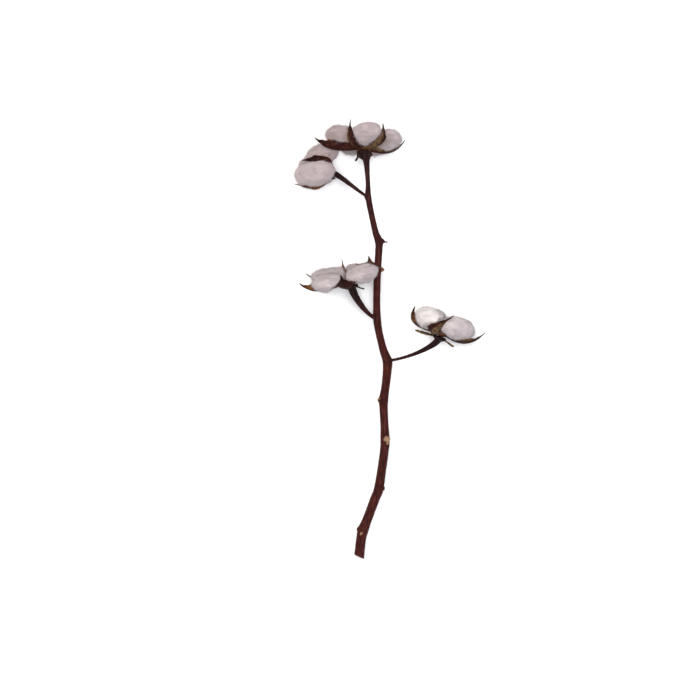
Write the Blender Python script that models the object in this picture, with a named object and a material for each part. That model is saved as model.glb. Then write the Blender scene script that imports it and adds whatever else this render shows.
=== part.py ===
"""A cut cotton stem that carries four open bolls, lying on its side on a flat surface.

+Y runs along the stem towards its tip, +Z is up from the surface, and the origin is the middle of the
footprint. Each boll is a woody bur of four or five valves that opens round as many locks of cotton.
Lengths in the tables are in millimetres, angles in degrees.
"""

import math
import random
from functools import partial
from typing import NamedTuple

import bmesh
import bpy
from mathutils import Vector

MM = 0.001
GAP = 0.3  # left between pieces that touch
SEED = 11

# The middle line of the main stem from its cut foot to its tip: across, along, radius.
STEM = [
    (0.0, 0.0, 4.1),
    (1.7, 16.0, 4.0),
    (3.5, 24.0, 4.4),
    (6.8, 32.5, 3.8),
    (12.9, 48.8, 3.8),
    (16.0, 57.0, 3.9),
    (18.4, 72.8, 3.6),
    (20.6, 88.8, 3.6),
    (21.0, 97.0, 3.8),
    (20.5, 108.8, 3.3),
    (19.9, 120.8, 3.4),
    (19.8, 128.8, 3.8),
    (21.2, 138.4, 3.4),
    (22.6, 151.2, 3.6),
    (22.7, 160.0, 3.9),
    (19.6, 168.8, 3.2),
    (16.4, 181.6, 3.0),
    (14.6, 192.8, 3.2),
    (14.2, 204.8, 2.9),
    (14.4, 220.8, 2.9),
    (15.2, 236.8, 2.9),
    (16.0, 250.4, 3.0),
    (15.9, 256.0, 3.3),
    (13.2, 263.2, 2.6),
    (9.6, 279.2, 2.4),
    (7.4, 291.2, 2.5),
    (7.2, 300.8, 1.9),
    (6.4, 312.8, 2.1),
    (5.6, 320.8, 2.8),
]
FOOT_HEIGHT = 3.8
STEM_RISE = (32.0, 1.3)  # how much higher its tip lies than its foot, and how late it rises
ZIGZAG = 1.1  # the stem bends a little up and down between its nodes
FOOT_CUT_TILT = 24.0

# Swollen leaf scars and corners at the nodes: along the stem, angle round it from +X to +Z, size.
SCARS = [(24.5, 165.0, 2.4), (57.5, 10.0, 2.0), (97.0, 50.0, 2.6), (128.8, 170.0, 2.3), (256.0, 5.0, 2.2)]
BUD_ALONG = 255.5
BUD_LENGTH = 6.0

# Each boll: where its bur sits, which way it opens, its valves and its locks.
# A valve: its angle round the boll's axis, how far out and how far up its tip reaches, its width against
# the usual one, how far its tip swings round, how far out it bends up as a share of its reach, how far
# down the bend lies, and how far its tip is twisted.
# The locks lie between the valves in the same order: a turn from midway, how far out and how high the
# middle lies, and the size against the boll's own half lengths out, across and up, which lean by a tilt.
BOLLS = {
    "top": {
        "seat": (4.0, 329.0, 33.5),
        "axis": (0.0, 0.94, -0.34),
        "lock_size": (14.0, 13.4, 7.4),
        "lock_tilt": 10.0,
        "valves": [
            (162, 40.5, 6.0, 1.0, 4, 0.74, -7.5, -10),
            (122, 29.0, 14.5, 0.58, -10, 0.85, -6.5, 0),
            (46, 29.0, 12.0, 0.75, 13, 0.85, -5.5, 0),
            (-13, 33.5, 11.0, 0.8, 0, 0.74, -6.5, 0),
            (-88, 30.0, 9.5, 0.9, 0, 0.74, -6.5, 0),
        ],
        "locks": [
            (2, 20.0, 5.8, 1.0),
            (0, 18.5, 5.0, 0.97),
            (6, 19.5, 3.4, 0.95),
            (0, 16.5, 7.8, 0.88),
            (14, 15.4, 8.2, 0.84),
        ],
    },
    "upper_left": {
        "seat": (-25.2, 310.4, 20.0),
        "axis": (-0.98, -0.15, 0.0),
        "lock_size": (9.6, 10.4, 15.5),
        "lock_tilt": 12.0,
        "valves": [
            (52, 20.5, 18.5, 0.42, 0, 0.95, -15.0, 0),
            (199, 12.5, 28.0, 0.7, 54, 1.0, -1.0, 0),
            (285, 17.0, 19.0, 0.6, 0, 1.0, -4.0, 0),
            (345, 18.0, 12.0, 0.55, 0, 1.0, -6.5, 0),
        ],
        "locks": [
            (-56, 12.0, 9.8, 1.04),
            (0, 12.0, 11.0, 0.95),
            (0, 11.5, 9.0, 0.95),
            (-6, 16.0, 1.4, 0.94),
        ],
    },
    "middle_left": {
        "seat": (-7.2, 223.2, 28.0),
        "axis": (-0.2, 0.95, 0.15),
        "lock_size": (15.0, 13.0, 6.6),
        "lock_tilt": 8.0,
        "valves": [
            (104, 26.0, 10.5, 1.15, 0, 0.85, -9.0, 0),
            (174, 41.0, 8.5, 0.95, -8, 0.74, -6.5, 35),
            (222, 36.0, 12.0, 0.8, -19, 0.74, -6.5, 0),
            (258, 23.0, 17.6, 0.45, 6, 0.9, -6.5, 0),
            (316, 29.5, 14.5, 1.25, -6, 0.9, -6.5, -40),
        ],
        "locks": [
            (6, 19.5, 3.8, 1.06),
            (0, 15.5, 7.6, 0.96),
            (0, 16.0, 6.0, 0.9),
            (0, 14.0, 4.0, 0.95),
            (24, 12.5, 5.4, 1.1),
        ],
    },
    "right": {
        "seat": (65.6, 181.6, 25.5),
        "axis": (0.36, 0.92, 0.1),
        "lock_size": (13.5, 14.0, 8.2),
        "lock_tilt": 12.0,
        "valves": [
            (196, 28.5, 12.5, 0.9, 0, 1.1, -6.5, 25),
            (130, 23.0, 19.5, 0.8, -50, 0.98, -6.5, 0),
            (-2, 33.0, 14.0, 0.82, -4, 0.74, -6.5, 10),
            (-90, 28.0, 12.0, 0.9, 0, 0.8, -6.5, 0),
        ],
        "locks": [
            (-8, 13.0, 7.8, 1.0),
            (4, 14.4, 9.6, 1.02),
            (0, 15.5, 8.0, 1.0),
            (0, 15.5, 8.0, 1.0),
        ],
    },
}

# Side stalks: the boll, where the stalk leaves the stem, how far its middle bows towards the tip, its
# radius below the boll, and how late it thickens.
STALKS = [
    ("upper_left", 290.5, -1.5, 2.3, 1.4),
    ("middle_left", 193.0, -3.0, 3.2, 1.3),
    ("right", 160.0, -2.0, 2.6, 2.2),
]
STALK_THIN = 1.15  # radius near the stem
STALK_TOP = 3.6  # how far below the bur's seat the stalk ends

# A bur's valve: a pointed boat-shaped blade with a thin partition along its inner side.
VALVE_HALF_WIDTH = 7.2
VALVE_THICKNESS = 1.0
VALVE_OUTLINE = [(0.0, 0.6), (0.2, 0.9), (0.42, 1.0), (0.64, 0.84), (0.8, 0.42), (0.9, 0.14), (1.0, 0.05)]
VALVE_TIP_HALF_WIDTH = 0.45
VALVE_CUP = 0.6  # how far its edges rise, against its half width
VALVE_ROOT = (2.6, 0.4)  # out and up from the seat
PARTITION_HEIGHT = 5.0
PARTITION_THICKNESS = 0.7
BUR_CORE = (6.2, 2.2)  # radius and half height of the disc that the valves grow from
CORE_RISE = 0.5

LOCK_SOFTNESS = 2.2  # depth over which a lock of cotton flattens against what it presses on
LOCK_CLEAR = 0.9  # left between a lock and the middle of the valve beside it
LOCK_LUMP = 0.9  # height of its soft swellings

# The calyx below the bur, and the dried bracts that are left on it: angle round the axis, reach, drop.
CALYX_RADIUS = 5.8
CALYX_HEIGHT = 3.4
BRACT_HALF_WIDTH = 3.0
BRACT_TWIST = 0.8  # radians from root to tip
BRACT_THICKNESS = 0.8
BRACTS = {
    "top": [(165, 7.5, 10.5), (300, 8.0, 7.0)],
    "upper_left": [(235, 8.5, 5.0), (300, 8.5, 5.0)],
    "middle_left": [(40, 13.0, 6.5), (250, 10.0, 6.0)],
    "right": [(182, 20.5, 4.6), (12, 13.5, 5.4), (270, 10.0, 7.0)],
}

COLOURS = {
    "stem": ((0.050, 0.016, 0.013, 1.0), 0.6),
    "bur": ((0.105, 0.042, 0.028, 1.0), 0.7),
    "cotton": ((0.78, 0.74, 0.74, 1.0), 1.0),
}


def smooth_table(table, share):
    """A value read from (share, value) pairs, eased between them."""
    for (low, first), (high, second) in zip(table, table[1:]):
        if share <= high:
            part = (share - low) / (high - low)
            return first + (second - first) * part * part * (3 - 2 * part)
    return table[-1][1]


def through(points, share):
    """A point on the smooth curve through the given points (Catmull-Rom), share from 0 to 1."""
    spans = len(points) - 1
    place = min(max(share, 0.0), 1.0) * spans
    at = min(int(place), spans - 1)
    part = place - at
    before, start, end, after = (Vector(points[min(max(at + k, 0), spans)]) for k in (-1, 0, 1, 2))
    return 0.5 * (
        2 * start
        + (end - before) * part
        + (2 * before - 5 * start + 4 * end - after) * part**2
        + (3 * start - before - 3 * end + after) * part**3
    )


def stem_line():
    """The stem's middle line as (x, y, z, radius), in millimetres."""
    longest = STEM[-1][1]
    line = []
    for index, (across, along, radius) in enumerate(STEM):
        height = FOOT_HEIGHT + STEM_RISE[0] * (along / longest) ** STEM_RISE[1]
        bend = ZIGZAG * math.sin(index * math.pi / 3) * min(1.0, along / 60.0)
        line.append((across, along, height + bend, radius))
    return line


def on_stem(along):
    """The middle of the stem and its radius, at a distance along Y."""
    line = stem_line()
    for low, high in zip(line, line[1:]):
        if along <= high[1]:
            part = (along - low[1]) / (high[1] - low[1])
            found = Vector(low).lerp(Vector(high), part)
            return Vector(found[:3]), found[3]
    return Vector(line[-1][:3]), line[-1][3]


class Valve(NamedTuple):
    """One valve of a bur, as it is given in the table of bolls."""

    angle: float
    reach: float
    rise: float
    width: float
    swing: float
    elbow: float
    depth: float
    twist: float


class Boll:
    """One boll's own axes, with the places of its valves and locks in them."""

    def __init__(self, name):
        facts = BOLLS[name]
        self.name = name
        self.seat = Vector(facts["seat"])
        self.axis = Vector(facts["axis"]).normalized()
        up = Vector((0, 0, 1))
        self.front = (up - up.dot(self.axis) * self.axis).normalized()
        self.side = self.axis.cross(self.front)
        self.valves = [Valve(*row) for row in facts["valves"]]
        self.locks = facts["locks"]
        self.lock_size = facts["lock_size"]
        self.lock_tilt = math.radians(facts["lock_tilt"])

    def place(self, angle, out, up, across=0.0):
        """A point given round the axis, out from it and up along it, in metres."""
        turn = math.radians(angle)
        outward = self.side * math.cos(turn) + self.front * math.sin(turn)
        return (self.seat + outward * out + self.axis * up + outward.cross(self.axis) * across) * MM

    def midrib(self, valve, share):
        """Out and up of the middle of a valve, and the unit normal of its inner side."""
        root = Vector(VALVE_ROOT)
        elbow = Vector((valve.elbow * valve.reach, valve.depth))
        tip = Vector((valve.reach, valve.rise))
        rest = 1 - share
        point = root * rest**2 + elbow * (2 * share * rest) + tip * share**2
        along = ((elbow - root) * rest + (tip - elbow) * share).normalized()
        return point, Vector((-along.y, along.x))

    def beside_midrib(self, valve, share, across, lift):
        """A point beside a valve's midrib and above it on its inner side."""
        point, inner = self.midrib(valve, share)
        turn = math.radians(valve.twist) * share
        across, lift = (
            across * math.cos(turn) - lift * math.sin(turn),
            across * math.sin(turn) + lift * math.cos(turn),
        )
        point = point + inner * lift
        return self.place(valve.angle + valve.swing * share * share, point.x, point.y, across)

    def walls_of_lock(self, index):
        """The angles of the two valves that a lock lies between, the larger first."""
        first, second = self.valves[index], self.valves[(index + 1) % len(self.valves)]
        start, end = first.angle + 0.55 * first.swing, second.angle + 0.55 * second.swing
        if (start - end) % 360 < 180:
            return start, start - (start - end) % 360
        return start + (end - start) % 360, start


def new_object(name, mesh, collection):
    made = bpy.data.objects.new(name, mesh)
    collection.objects.link(made)
    return made


def slab(name, point_at, along, across, collection):
    """A grid drawn out to a closed plate and laid out by point_at(share, across, side)."""
    form = bmesh.new()
    bmesh.ops.create_grid(form, x_segments=along, y_segments=across, size=0.5)
    drawn = bmesh.ops.extrude_face_region(form, geom=form.faces[:], use_keep_orig=True)
    upper = {found for found in drawn["geom"] if isinstance(found, bmesh.types.BMVert)}
    for vertex in form.verts:
        side = 1 if vertex in upper else -1
        vertex.co = point_at(vertex.co.x + 0.5, vertex.co.y * 2, side)
    bmesh.ops.recalc_face_normals(form, faces=form.faces)
    bmesh.ops.triangulate(form, faces=form.faces, quad_method="FIXED")
    mesh = bpy.data.meshes.new(name)
    form.to_mesh(mesh)
    form.free()
    return new_object(name, mesh, collection)


def ball(name, segments, rings, point_at, collection):
    """A sphere whose every point is moved by point_at(unit vector)."""
    form = bmesh.new()
    bmesh.ops.create_uvsphere(form, u_segments=segments, v_segments=rings, radius=1.0)
    for vertex in form.verts:
        vertex.co = point_at(vertex.co.copy())
    if form.calc_volume(signed=True) < 0:
        bmesh.ops.reverse_faces(form, faces=form.faces)
    bmesh.ops.triangulate(form, faces=form.faces, quad_method="FIXED")
    mesh = bpy.data.meshes.new(name)
    form.to_mesh(mesh)
    form.free()
    return new_object(name, mesh, collection)


def tube(name, points, collection, resolution=2):
    """A round rod through (x, y, z, radius) points in millimetres, as a closed mesh."""
    curve = bpy.data.curves.new(name, "CURVE")
    curve.dimensions = "3D"
    curve.bevel_depth = MM
    curve.bevel_resolution = resolution
    curve.use_fill_caps = True
    line = curve.splines.new("POLY")
    line.points.add(len(points) - 1)
    for spot, (x, y, z, radius) in zip(line.points, points):
        spot.co = (x * MM, y * MM, z * MM, 1.0)
        spot.radius = radius
    guide = new_object(name, curve, collection)
    graph = bpy.context.evaluated_depsgraph_get()
    mesh = bpy.data.meshes.new_from_object(guide.evaluated_get(graph))
    bpy.data.objects.remove(guide)
    form = bmesh.new()
    form.from_mesh(mesh)
    bmesh.ops.remove_doubles(form, verts=form.verts, dist=0.01 * MM)
    bmesh.ops.recalc_face_normals(form, faces=form.faces)
    form.to_mesh(mesh)
    form.free()
    return new_object(name, mesh, collection)


def apply_modifiers(made):
    graph = bpy.context.evaluated_depsgraph_get()
    mesh = bpy.data.meshes.new_from_object(made.evaluated_get(graph))
    made.modifiers.clear()
    made.data = mesh


def clear(others):
    """Removes a collection of helpers."""
    for other in list(others.objects):
        bpy.data.objects.remove(other)
    bpy.data.collections.remove(others)


def join(made, others):
    """Joins a collection's objects to this one."""
    step = made.modifiers.new("Join", "BOOLEAN")
    step.operand_type = "COLLECTION"
    step.collection = others
    step.operation = "UNION"
    step.solver = "EXACT"
    apply_modifiers(made)
    clear(others)


def cut(made, others):
    """Cuts a collection's objects from this one, each after the other."""
    for other in others.objects:
        step = made.modifiers.new("Cut", "BOOLEAN")
        step.object = other
        step.operation = "DIFFERENCE"
        step.solver = "EXACT"
    apply_modifiers(made)
    clear(others)


def helpers(name):
    """A collection for pieces that are joined to another or cut from it."""
    made = bpy.data.collections.new(name)
    bpy.context.scene.collection.children.link(made)
    return made


def keep_largest(made):
    """Drops the loose scraps that a cut leaves."""
    form = bmesh.new()
    form.from_mesh(made.data)
    left = set(form.verts)
    islands = []
    while left:
        grown = [left.pop()]
        island = set(grown)
        while grown:
            for edge in grown.pop().link_edges:
                for vertex in edge.verts:
                    if vertex in left:
                        left.discard(vertex)
                        island.add(vertex)
                        grown.append(vertex)
        islands.append(island)
    islands.sort(key=len)
    for island in islands[:-1]:
        bmesh.ops.delete(form, geom=list(island), context="VERTS")
    form.to_mesh(made.data)
    form.free()


def rest_on_surface(made):
    """Flattens what would reach below the surface that the stem lies on."""
    for vertex in made.data.vertices:
        vertex.co.z = max(vertex.co.z, 0.0)


def finish(made, kind):
    """Gives a piece its material and smooth shading."""
    material = bpy.data.materials.get(kind)
    if material is None:
        material = bpy.data.materials.new(kind)
        material.use_nodes = True
        surface = material.node_tree.nodes["Principled BSDF"]
        colour, roughness = COLOURS[kind]
        surface.inputs["Base Color"].default_value = colour
        surface.inputs["Roughness"].default_value = roughness
        surface.inputs["Metallic"].default_value = 0.0
        material.diffuse_color = colour
    made.data.materials.clear()
    made.data.materials.append(material)
    made.data.shade_smooth()
    made.data.set_sharp_from_angle(angle=math.radians(40))


def blade_point(boll, valve, extra, share, across, side):
    """A point on the pointed blade of a valve; side is 1 on its inner face."""
    width = VALVE_HALF_WIDTH * valve.width * smooth_table(VALVE_OUTLINE, share)
    width = max(width, VALVE_TIP_HALF_WIDTH)
    beside = (width + extra) * across
    lift = VALVE_CUP * beside**2 / width + side * (VALVE_THICKNESS / 2 + extra * (1 + 0.5 * across**2))
    return boll.beside_midrib(valve, share, beside, lift)


def partition_point(boll, valve, extra, share, rise, side):
    """A point on the thin wall along a valve's midrib; rise is -1 where it is rooted."""
    height = PARTITION_HEIGHT * math.sin(math.pi * (0.12 + 0.84 * share)) + extra
    lift = -0.2 if rise < 0 else height
    return boll.beside_midrib(valve, 0.06 + 0.56 * share, side * (PARTITION_THICKNESS / 2 + extra), lift)


def valve_pieces(boll, collection, extra=0.0):
    """The blades of a bur and the partitions along them, thicker by extra where they cut cotton."""
    for index, valve in enumerate(boll.valves):
        slab(f"{boll.name}_blade_{index}", partial(blade_point, boll, valve, extra), 8, 4, collection)
        slab(f"{boll.name}_partition_{index}", partial(partition_point, boll, valve, extra), 5, 1, collection)


def core_piece(boll, collection, extra=0.0):
    """The disc that the valves grow from."""
    radius, half_height = (half + extra for half in BUR_CORE)

    def point_at(at):
        return boll.place(0, at.x * radius, CORE_RISE + at.z * half_height, at.y * radius)

    return ball(f"{boll.name}_core", 12, 6, point_at, collection)


def bur(boll, collection):
    """The opened woody fruit wall: a disc with its valves grown on it."""
    made = core_piece(boll, collection)
    made.name = f"{boll.name}_bur"
    blades = helpers(f"{boll.name}_blades")
    valve_pieces(boll, blades)
    join(made, blades)
    rest_on_surface(made)
    finish(made, "bur")
    return made


def soft_stop(distance, limit, softness):
    """Eases a distance that falls towards a limit so that it never passes it."""
    depth = distance - limit
    if depth >= softness:
        return distance
    return limit + softness * math.exp((depth - softness) / softness)


def lock_point(boll, index, at, draw):
    """A point on a lock of cotton, from a point on a unit sphere: x out, y across, z up."""
    turn, out, up, size = boll.locks[index]
    high, low = boll.walls_of_lock(index)
    length, width, height = (half * size for half in boll.lock_size)
    lump = LOCK_LUMP * math.sin(3.1 * at.x + draw[0]) * math.sin(2.7 * at.y + draw[1])
    reach = at.x * (length + lump)
    rise = at.z * (height + lump) * (1 + 0.1 * at.x)
    across = at.y * (width + lump) * (1 + 0.12 * at.x)
    lean, bend = boll.lock_tilt, math.radians(turn)
    radial = out + reach * math.cos(lean) - rise * math.sin(lean)
    axial = up + reach * math.sin(lean) + rise * math.cos(lean)
    radial, across = (
        radial * math.cos(bend) - across * math.sin(bend),
        radial * math.sin(bend) + across * math.cos(bend),
    )
    half = math.radians((high - low) / 2)
    for _ in range(3):
        for side in (1, -1):
            wall = radial * math.sin(half) - side * across * math.cos(half)
            push = soft_stop(wall, LOCK_CLEAR, LOCK_SOFTNESS) - wall
            radial += push * math.sin(half)
            across -= side * push * math.cos(half)
    return boll.place((high + low) / 2, radial, axial, across)


def lock(boll, index, collection, rng):
    """One lock of cotton, cut clear of the bur that holds it."""
    draw = (rng.uniform(0, 6), rng.uniform(0, 6))

    def point_at(at):
        return lock_point(boll, index, Vector((at.z, at.y, at.x)), draw)

    made = ball(f"{boll.name}_lock_{index + 1}", 13, 8, point_at, collection)
    rest_on_surface(made)
    cutters = helpers(f"{boll.name}_cutters")
    valve_pieces(boll, cutters, GAP)
    core_piece(boll, cutters, GAP)
    cut(made, cutters)
    keep_largest(made)
    finish(made, "cotton")
    return made


def stalk_points(boll, along, bow, thick, power):
    """A side stalk's middle line: it leaves the stem thin and thickens below the boll."""
    start, _ = on_stem(along)
    end = boll.seat - boll.axis * STALK_TOP
    points = []
    steps = 12
    before_end = end - boll.axis * 7.0
    for step in range(steps + 1):
        share = step / steps
        straight = start.lerp(end, share)
        turned = start.lerp(before_end, share).lerp(end, share**3)
        middle = straight.lerp(turned, 0.8)
        middle.y += bow * math.sin(math.pi * share)
        radius = STALK_THIN + (thick - STALK_THIN) * min(1.0, 1.15 * share) ** power
        points.append((*middle, radius))
    return points


def calyx(boll, collection):
    """The blunt cone that joins a stalk to its bur."""
    top = -BUR_CORE[1] + CORE_RISE - GAP
    foot = top - CALYX_HEIGHT
    ball(
        f"{boll.name}_calyx",
        12,
        6,
        lambda at: boll.place(
            0,
            at.x * (CALYX_RADIUS - 2.4 * max(0.0, -at.z)),
            min(top, (top + foot) / 2 + at.z * CALYX_HEIGHT * 0.75),
            at.y * (CALYX_RADIUS - 2.4 * max(0.0, -at.z)),
        ),
        collection,
    )


def bract(boll, index, angle, reach, drop, collection):
    """A dried, pointed bract that hangs away from the calyx."""
    top = -BUR_CORE[1] + CORE_RISE - GAP - 1.6

    def point_at(share, across, side):
        out = 3.0 + (reach - 3.0) * share
        up = top - (drop + top) * math.sin(share * math.pi / 2) ** 1.5
        width = BRACT_HALF_WIDTH * (1 - share) ** 0.7 + 0.4
        twist = BRACT_TWIST * share
        beside, above = width * across, side * BRACT_THICKNESS / 2
        turned = beside * math.cos(twist) - above * math.sin(twist)
        raised = beside * math.sin(twist) + above * math.cos(twist)
        return boll.place(angle, out, up + raised, turned)

    slab(f"{boll.name}_bract_{index}", point_at, 6, 2, collection)


def stem(bolls, collection):
    """The main stem, its side stalks, scars and bud, and the calyx and bracts below each bur."""
    line = stem_line()
    top = bolls["top"]
    for below in (5.4, STALK_TOP):
        line.append((*(top.seat - top.axis * below), 3.1))
    rings = 58
    made = tube("stem", [tuple(through(line, step / rings)) for step in range(rings + 1)], collection)
    grown = helpers("grown_on_stem")
    for name, *facts in STALKS:
        tube(f"{name}_stalk", stalk_points(bolls[name], *facts), grown, 1)
    for index, (along, angle, size) in enumerate(SCARS):
        middle, radius = on_stem(along)
        turn = math.radians(angle)
        outward = Vector((math.cos(turn), 0, math.sin(turn)))
        at_side = middle + outward * (radius - size * 0.45)
        ball(f"scar_{index}", 8, 5, lambda at, c=at_side, s=size: (c + at * s) * MM, grown)
    middle, radius = on_stem(BUD_ALONG)
    tip = middle + Vector((radius + BUD_LENGTH - 1.5, -0.4, 0.6))
    root = middle + Vector((radius - 1.5, 0, 0.3))
    tube("bud", [(*root.lerp(tip, share), 1.5 - 1.15 * share) for share in (0, 0.45, 0.8, 1)], grown, 1)
    for name, boll in bolls.items():
        calyx(boll, grown)
        for index, (angle, reach, drop) in enumerate(BRACTS[name]):
            bract(boll, index, angle, reach, drop, grown)
    join(made, grown)
    cut_foot(made)
    rest_on_surface(made)
    finish(made, "stem")
    return made


def cut_foot(made):
    """The slanted cut at the lower end."""
    form = bmesh.new()
    form.from_mesh(made.data)
    tilt = math.radians(FOOT_CUT_TILT)
    cut = bmesh.ops.bisect_plane(
        form,
        geom=form.verts[:] + form.edges[:] + form.faces[:],
        plane_co=Vector((0.0, 2.2, FOOT_HEIGHT)) * MM,
        plane_no=(-math.sin(tilt), -math.cos(tilt), 0.0),
        clear_outer=True,
    )
    rim = [found for found in cut["geom_cut"] if isinstance(found, bmesh.types.BMEdge)]
    bmesh.ops.holes_fill(form, edges=rim)
    bmesh.ops.recalc_face_normals(form, faces=form.faces)
    form.to_mesh(made.data)
    form.free()


def centre_footprint(collection):
    """Moves every piece so that the middle of the footprint is at the origin."""
    corners = [vertex.co for made in collection.objects for vertex in made.data.vertices]
    shift = Vector(
        (
            -(min(c.x for c in corners) + max(c.x for c in corners)) / 2,
            -(min(c.y for c in corners) + max(c.y for c in corners)) / 2,
            0.0,
        )
    )
    for made in collection.objects:
        for vertex in made.data.vertices:
            vertex.co += shift
    return shift


def main():
    for old in list(bpy.data.objects):
        bpy.data.objects.remove(old)
    rng = random.Random(SEED)
    collection = bpy.data.collections.new("cotton_stem")
    bpy.context.scene.collection.children.link(collection)
    bolls = {name: Boll(name) for name in BOLLS}
    stem(bolls, collection)
    for boll in bolls.values():
        bur(boll, collection)
        for index in range(len(boll.locks)):
            lock(boll, index, collection, rng)
    collection["footprint_shift"] = centre_footprint(collection)


main()
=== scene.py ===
"""The looks of a cut cotton stem with four open bolls, laid down and seen from above.

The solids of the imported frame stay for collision. Finer pieces of the same form stand in for them here:
fluffy locks of cotton, ribbed two-toned burs, and bark with scars, calyxes and dried bracts.
Lengths in the tables are in millimetres in the plant's own frame, and FOOTPRINT_SHIFT moves them to the
frame's. Angles are in degrees unless a line says otherwise.
"""

import math
import random
from functools import partial
from typing import NamedTuple

import bmesh
import bpy
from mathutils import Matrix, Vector, kdtree, noise
from mathutils.bvhtree import BVHTree


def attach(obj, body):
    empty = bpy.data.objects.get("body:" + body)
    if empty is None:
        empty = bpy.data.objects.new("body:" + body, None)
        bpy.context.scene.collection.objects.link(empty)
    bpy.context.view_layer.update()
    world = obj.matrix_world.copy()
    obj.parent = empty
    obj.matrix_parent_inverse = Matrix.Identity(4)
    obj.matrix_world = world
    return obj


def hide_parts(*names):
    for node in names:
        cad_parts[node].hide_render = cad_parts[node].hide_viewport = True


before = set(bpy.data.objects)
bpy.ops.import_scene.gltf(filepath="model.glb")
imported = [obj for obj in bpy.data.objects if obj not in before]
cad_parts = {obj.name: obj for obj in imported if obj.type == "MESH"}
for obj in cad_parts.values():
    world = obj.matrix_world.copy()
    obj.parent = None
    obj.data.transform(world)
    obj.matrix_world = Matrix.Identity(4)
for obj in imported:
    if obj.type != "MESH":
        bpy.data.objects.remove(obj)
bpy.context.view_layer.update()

MM = 0.001
GAP = 0.3  # between a bur and the calyx that carries it
SEED = 11
FOOTPRINT_SHIFT = Vector((-24.65, -176.11, 0.0))

# The middle line of the main stem from its cut foot to its tip: across, along, radius.
STEM = [
    (0.0, 0.0, 4.1),
    (1.7, 16.0, 4.0),
    (3.5, 24.0, 4.4),
    (6.8, 32.5, 3.8),
    (12.9, 48.8, 3.8),
    (16.0, 57.0, 3.9),
    (18.4, 72.8, 3.6),
    (20.6, 88.8, 3.6),
    (21.0, 97.0, 3.8),
    (20.5, 108.8, 3.3),
    (19.9, 120.8, 3.4),
    (19.8, 128.8, 3.8),
    (21.2, 138.4, 3.4),
    (22.6, 151.2, 3.6),
    (22.7, 160.0, 3.9),
    (19.6, 168.8, 3.2),
    (16.4, 181.6, 3.0),
    (14.6, 192.8, 3.2),
    (14.2, 204.8, 2.9),
    (14.4, 220.8, 2.9),
    (15.2, 236.8, 2.9),
    (16.0, 250.4, 3.0),
    (15.9, 256.0, 3.3),
    (13.2, 263.2, 2.6),
    (9.6, 279.2, 2.4),
    (7.4, 291.2, 2.5),
    (7.2, 300.8, 1.9),
    (6.4, 312.8, 2.1),
    (5.6, 320.8, 2.8),
]
FOOT_HEIGHT = 3.8
STEM_RISE = (32.0, 1.3)  # how much higher its tip lies than its foot, and how late it rises
ZIGZAG = 1.1  # the stem bends a little up and down between its nodes
FOOT_CUT_TILT = 24.0
FOOT_CUT_ALONG = 2.2
STEM_TOP_JOIN = 5.4  # how far below the top boll's seat the stem takes up the boll's direction
STEM_TOP_RADIUS = 3.1

# Swollen leaf scars and corners at the nodes: along the stem, angle round it from +X to +Z, size.
SCARS = [(24.5, 165.0, 2.4), (57.5, 10.0, 2.0), (97.0, 50.0, 2.6), (128.8, 170.0, 2.3), (256.0, 5.0, 2.2)]
SCAR_SUNK = 0.45  # against its size
BUD_ALONG = 255.5
BUD_LENGTH = 6.0
BUD_SUNK = 1.5
BUD_RADIUS = 1.5
BUD_TAPER = 1.15

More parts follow.
